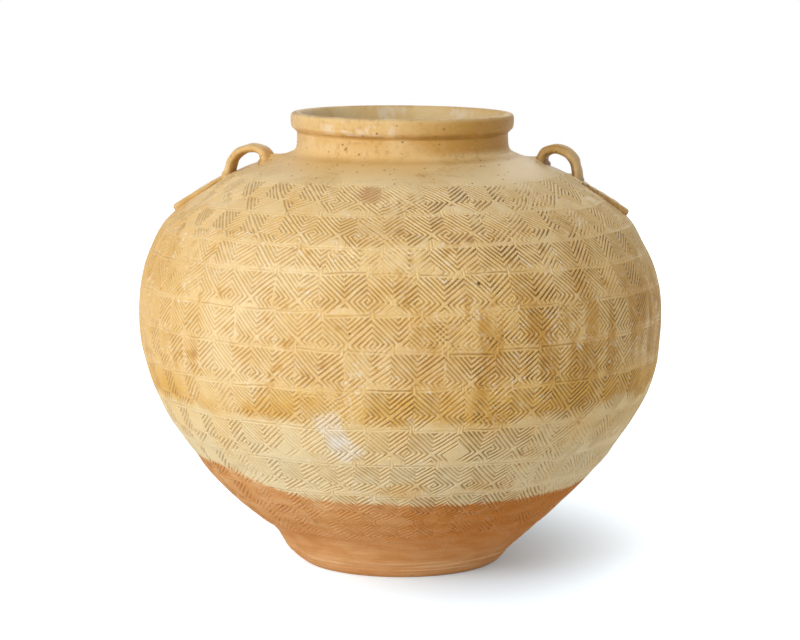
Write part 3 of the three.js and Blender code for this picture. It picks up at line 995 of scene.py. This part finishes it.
# %% Make the wall courses
INNER_RINGS = 4
FULL_GROOVE = 0.7 * GROOVE
slab_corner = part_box("floor_slab")[1]
for node, low, high in COURSES:
    first, last = course_rings[node]
    outside = whole[first:last + 1]
    levels = np.linspace(high, max(low, COURSE_SPLAY), INNER_RINGS) - COURSE_SPLAY
    inner_rings = [inner_ring(level, angle) for level in levels]
    if node == "foot_course":
        slab_edge = circle(slab_corner.x, slab_corner.z, angle)
        inner_rings = [ring for ring in inner_rings if ring[0, 2] > slab_corner.z + 2 * MM]
        inner_rings += [slab_edge, slab_edge * (1, 1, 0)]
    rings = np.concatenate([outside, np.stack(inner_rings)])
    made = mesh_object(node + "_skin", rings.reshape(-1, 3), ring_quads(len(rings), COLUMNS))
    groove_and_shade = np.zeros(rings.shape[:2])
    groove_and_shade[:len(outside)] = np.clip(-coarse[first:last + 1] / FULL_GROOVE, 0, 1)
    inside = np.ones(rings.shape[:2])
    inside[:len(outside)] = 0
    custom = np.zeros((len(rings) * COLUMNS, 3), np.float32)
    custom[:len(outside) * COLUMNS] = normals[first:last + 1].reshape(-1, 3)
    made.data.normals_split_custom_set_from_vertices(custom)
    dress(made, node, skin, groove_and_shade, inside)
    print(node, len(made.data.polygons), "faces")

# %% [markdown]
# ## Floor, collar and lip
#
# These were thrown on the wheel, so they are plain turned forms. The lip is clay folded outwards: a band
# that stands proud of the neck, with a soft upper edge that slopes in to the mouth. A lathe would leave
# it too true, so its edges wander up and down by a fraction of a millimetre.

# %% Turned pieces
TURN_COLUMNS = 896
TOP = 341.0
LIP_BOTTOM = 326.5
LIP_SLANT = 0.6
COLLAR_INSIDE = 73.0
turn_at = np.arange(TURN_COLUMNS) * 2 * math.pi / TURN_COLUMNS


def wander(z):
    """How far a turned edge strays up or down round the mouth."""
    free = float(np.interp(z, [LIP_BOTTOM - 6, LIP_BOTTOM + 1, TOP - 1, TOP], [0.0, 1.0, 0.4, 0.0]))
    waves = 0.3 * np.sin(2 * turn_at + 0.6) + 0.25 * np.sin(5 * turn_at + 2.0) + 0.12 * np.sin(11 * turn_at)
    return free * waves - LIP_SLANT * (1 + np.cos(turn_at)) * step(z, 320, 328)


def turned(name, profile, columns=TURN_COLUMNS, clay_outs=()):
    """A ring turned from a closed profile of (radius, height) points in millimetres.

    clay_outs are the outward directions of the first points, for those that lie under the smeared clay.
    Gives back the piece, and the radius and the height of each of its points."""
    at = turn_at[:: TURN_COLUMNS // columns]
    rings = []
    for i, (r, z) in enumerate(profile):
        level = z + wander(z)[:: TURN_COLUMNS // columns]
        radius = r - 0.25 * (1 + np.cos(3 * at + 1.1) * np.cos(4 * at)) * step(z, 322, 330)
        if i < len(clay_outs):
            clay = mound_height(r, at)
            radius, level = radius + clay * clay_outs[i][0], level + clay * clay_outs[i][1]
        rings.append(np.stack([radius * np.cos(at) + lean(z), radius * np.sin(at), level], axis=-1))
    made = mesh_object(name, np.concatenate(rings) * MM, ring_quads(len(rings), columns))
    radii, heights = np.array(profile, float).T
    return made, np.repeat(radii, columns), np.repeat(heights, columns)


print("turned pieces have", TURN_COLUMNS, "columns")

# %% The profiles of the collar and the lip
# The collar starts with a ring a hair above its joint, which keeps the joint's edge crisp.
SHARP = 0.15
COLLAR_STEP = 0.8
collar_s = np.arange(at_height(305), at_height(319), COLLAR_STEP)
collar_s = np.insert(collar_s, 1, collar_s[0] + SHARP)
collar_r, collar_z, *collar_out = point(collar_s)
wheel_lines = 0.09 * np.sin(collar_s * 2 * math.pi / 2.9)
collar_r = collar_r + wheel_lines - 0.25 * np.exp(-(((collar_z - 311) / 1.2) ** 2))
wall_foot = inner_ring(305 - COURSE_SPLAY, np.array([0.0]))[0] / MM
upper = smooth_curve([(79.5, 319), (79.4, 322), (79.5, 325), (79.8, LIP_BOTTOM)], 6)
collar_profile = list(zip(collar_r, collar_z)) + [tuple(p) for p in upper]
collar_profile += [
    (COLLAR_INSIDE, LIP_BOTTOM), (COLLAR_INSIDE, 322), (COLLAR_INSIDE, 316),
    (COLLAR_INSIDE + 0.3, 311), (COLLAR_INSIDE + 3.5, 305),
    (wall_foot[0] - lean(wall_foot[2]), wall_foot[2]),
]
LIP = [
    (79.8, LIP_BOTTOM), (80.9, 327.4), (82.2, 328.6), (83.5, 330.0), (84.0, 332.0), (84.2, 335.0),
    (84.2, 337.4), (83.8, 339.2), (82.8, 340.3), (81.2, 340.9), (79.6, 340.9), (78.0, 340.6),
    (76.8, 339.6), (75.6, 337.4), (74.3, 333), (COLLAR_INSIDE, LIP_BOTTOM),
]
lip_profile = [tuple(p) for p in smooth_curve(LIP, 5)]
print("collar of", len(collar_profile), "rings, lip of", len(lip_profile))

# %% Collar and lip
for name, profile in (("collar", collar_profile), ("folded_lip", lip_profile)):
    clay_outs = np.stack(collar_out, axis=1) if name == "collar" else ()
    made, radii, heights = turned(name + "_skin", profile, clay_outs=clay_outs)
    # Painted shade under the lip's fold, carried in the groove mask.
    lip_fold_shade = 0.85 * np.exp(-(((heights - LIP_BOTTOM + 0.5) / 1.6) ** 2)) * (radii > 78)
    root = 0.6 * np.exp(-(((heights - 309) / 3.0) ** 2)) * (radii > 80)
    dress(made, name, skin, lip_fold_shade + root, 0.7 * step(78.5 - radii, 0, 3))
    print(name, len(made.data.polygons), "faces")

# %% Floor slab
slab_r, slab_top = slab_corner.x / MM, slab_corner.z / MM
HUB = 0.01
SLAB_COLUMNS = 224
slab_profile = [
    (HUB, 0.0), (slab_r, 0.0), (slab_r, slab_top), (slab_r * 0.6, slab_top), (HUB, slab_top),
]
made, radii, heights = turned("floor_slab_skin", slab_profile, SLAB_COLUMNS)
upper_side = (heights > slab_top / 2).astype(float)
dress(made, "floor_slab", skin, np.zeros(len(radii)), upper_side)
print("floor slab", len(made.data.polygons), "faces")

# %% [markdown]
# ## Loops and strips
#
# Each handle is a strap of clay bent into a loop over the shoulder, with a strip pressed down below it.
# A bent tube would be too even, so the strap is swept ring by ring. Its section is a flattened oval that
# spreads at the roots, where wet clay was smeared on the wall, and a little noise takes off the
# machine-made look.


# %% Sweep a strap
# Blender's vector noise takes its seed from the clock unless it is given one, and the straps would then
# come out a little different each time.
STRAP_SEED = 11
SIDES = 64
noise.seed_set(STRAP_SEED)


def sweep(line, widths, depths, sides=SIDES, power=2.7):
    """Rings of a squared oval along (radius, height) points in the XZ plane, with their faces.

    Gives back the points, the four-sided faces between the rings, and the triangles of the two caps."""
    tangent = np.gradient(line, axis=0)
    tangent /= np.linalg.norm(tangent, axis=1, keepdims=True)
    turn = np.arange(sides) * 2 * math.pi / sides
    sideways = np.sign(np.cos(turn)) * np.abs(np.cos(turn)) ** (2 / power)
    through = np.sign(np.sin(turn)) * np.abs(np.sin(turn)) ** (2 / power)
    off = through[None, :] * np.asarray(depths)[:, None] / 2
    x = line[:, :1] - tangent[:, 1:] * off
    y = sideways[None, :] * np.asarray(widths)[:, None] / 2
    z = line[:, 1:] + tangent[:, :1] * off
    rings = np.stack([x, y, z], axis=-1)
    ends = np.stack([rings[0].mean(axis=0), rings[-1].mean(axis=0)])
    points = np.concatenate([rings.reshape(-1, 3), ends])
    j, last_ring = np.arange(sides), (len(line) - 1) * sides
    following = (j + 1) % sides
    hubs = np.full(sides, last_ring + sides)
    near_cap = np.stack([hubs, following, j], axis=-1)
    far_cap = np.stack([hubs + 1, last_ring + j, last_ring + following], axis=-1)
    quads = ring_quads(len(line), sides, closed=False)
    return points, quads, np.concatenate([near_cap, far_cap])


def roughen(points, amount, size):
    """Pushes points about by smooth noise, in millimetres."""
    return np.array([p + amount * np.array(noise.noise_vector(Vector(p / size))) for p in points])


print("sweep is ready")


# %% Loops
LOOP_WIDTH = 15.2


def strap_piece(handle, kind, ending, turn, middle, swept, groove_and_shade):
    """Turns a strap made on the +X side to its place, as its solid stands."""
    points, quads, caps = swept
    node, sign = handle["side"] + "_" + kind, handle["sign"]
    c, s = math.cos(turn), math.sin(turn)
    x, y = points[:, 0] * sign, points[:, 1] * sign
    placed = np.stack([c * x + s * y + sign * middle, c * y - s * x, points[:, 2]], axis=-1)
    placed[:, 0] += SHOULDER_LEAN
    made = mesh_object(node + ending, placed * MM, quads[:, ::-1], caps[:, ::-1])
    dress(made, node, skin, groove_and_shade, np.zeros(len(points)))


def resample(line, spacing):
    """Points at an even spacing along a line."""
    s = np.concatenate([[0], np.cumsum(np.hypot(*np.diff(line, axis=0).T))])
    at = np.linspace(0, s[-1], round(s[-1] / spacing) + 1)
    return np.stack([np.interp(at, s, line[:, 0]), np.interp(at, s, line[:, 1])], axis=1)


for handle in HANDLES:
    turn = math.radians(handle["turned"])
    arch = np.array(handle["arch"], float)
    middle = (arch[0, 0] + arch[-1, 0]) / 2
    line = resample(smooth_curve(arch), 0.55)
    rise = np.maximum(0, [z - shoulder_z(r) for r, z in line])
    inward = step(np.linspace(0, 1, len(line)), 0, 1)
    flare = 1.6 * np.exp(-rise / 1.2) + (1.2 + 2.8 * inward) * np.exp(-rise / 5.0)
    uneven = np.array([0.5 * math.sin(0.31 * i + handle["sign"]) for i in range(len(line))])
    line[:, 0] = (line[:, 0] - middle) / math.cos(turn)
    widths, depths = LOOP_WIDTH + flare * 1.6 + uneven, handle["thickness"] + flare + uneven * 0.3
    points, quads, caps = sweep(line, widths, depths)
    points = roughen(points, 0.7, 9.0)
    # Painted shade on the strap's underside and round its roots is added to the glaze's own stain.
    under = np.clip(np.sin(np.arange(SIDES) * 2 * math.pi / SIDES), 0, 1) ** 0.7
    near_root = np.exp(-rise / 7.0)[:, None]
    stain_and_shade = handle["stain_and_shade"] + under[None, :] * (0.2 + 1.6 * near_root) + 0.3 * near_root ** 3
    groove_and_shade = np.concatenate([stain_and_shade.ravel(), [0.5, 0.5]])
    strap_piece(handle, "loop", "_strap", turn, middle, (points, quads, caps), groove_and_shade)
print("two loops")

# %% [markdown]
# A strip follows the shoulder, so its middle line is taken from the outline and lifted by half its
# thickness, less what is pressed into the wall. It thickens away from the loop and ends blunt, and the
# one on the right has nicks along one edge.

# %% Strips
STRIP_BEDDING = 1.2
for handle in HANDLES:
    start, end = handle["strip"]
    width = handle["strip_width"]
    radii = np.arange(start, end, 0.45)
    s_here = np.array([at_height(shoulder_z(r)) for r in radii])
    pr, pz, nr, nz = point(s_here)
    share = (radii - radii[0]) / (radii[-1] - radii[0])
    thick = 3.2 + 2.4 * share ** 1.5
    rounding = np.clip((radii[-1] - radii) / 6.0, 0, 1)
    blunt = 0.55 + 0.45 * np.sqrt(1 - (1 - rounding) ** 2)
    tip = 0.55 + 0.45 * np.sqrt(1 - (1 - np.clip((radii[-1] - radii) / 2.0, 0, 1)) ** 2)
    lift = thick / 2 - STRIP_BEDDING
    line = np.stack([pr + nr * lift, pz + nz * lift], axis=1)
    points, quads, caps = sweep(line, width * blunt, thick * tip, power=3.4)
    points = roughen(points, 0.6, 7.0)
    # The strip's two side edges are darkened with painted shade where they meet the wall.
    groove_and_shade = handle["stain_and_shade"] - 0.1 + 0.6 * (np.abs(points[:, 1]) / (width / 2)) ** 4
    nicks = step(np.sin(points[:, 0] * 2 * math.pi / 7.5 + 1.5), 0.5, 0.9)
    nicks *= step(-points[:, 1], width * 0.28, width * 0.4)
    if handle["side"] == "right":
        points[:, 2] -= 1.1 * nicks
        groove_and_shade += 0.6 * nicks
    turn = math.radians(handle["bearing"])
    strap_piece(handle, "strip", "_band", turn, 0.0, (points, quads, caps), groove_and_shade)
print("two strips")
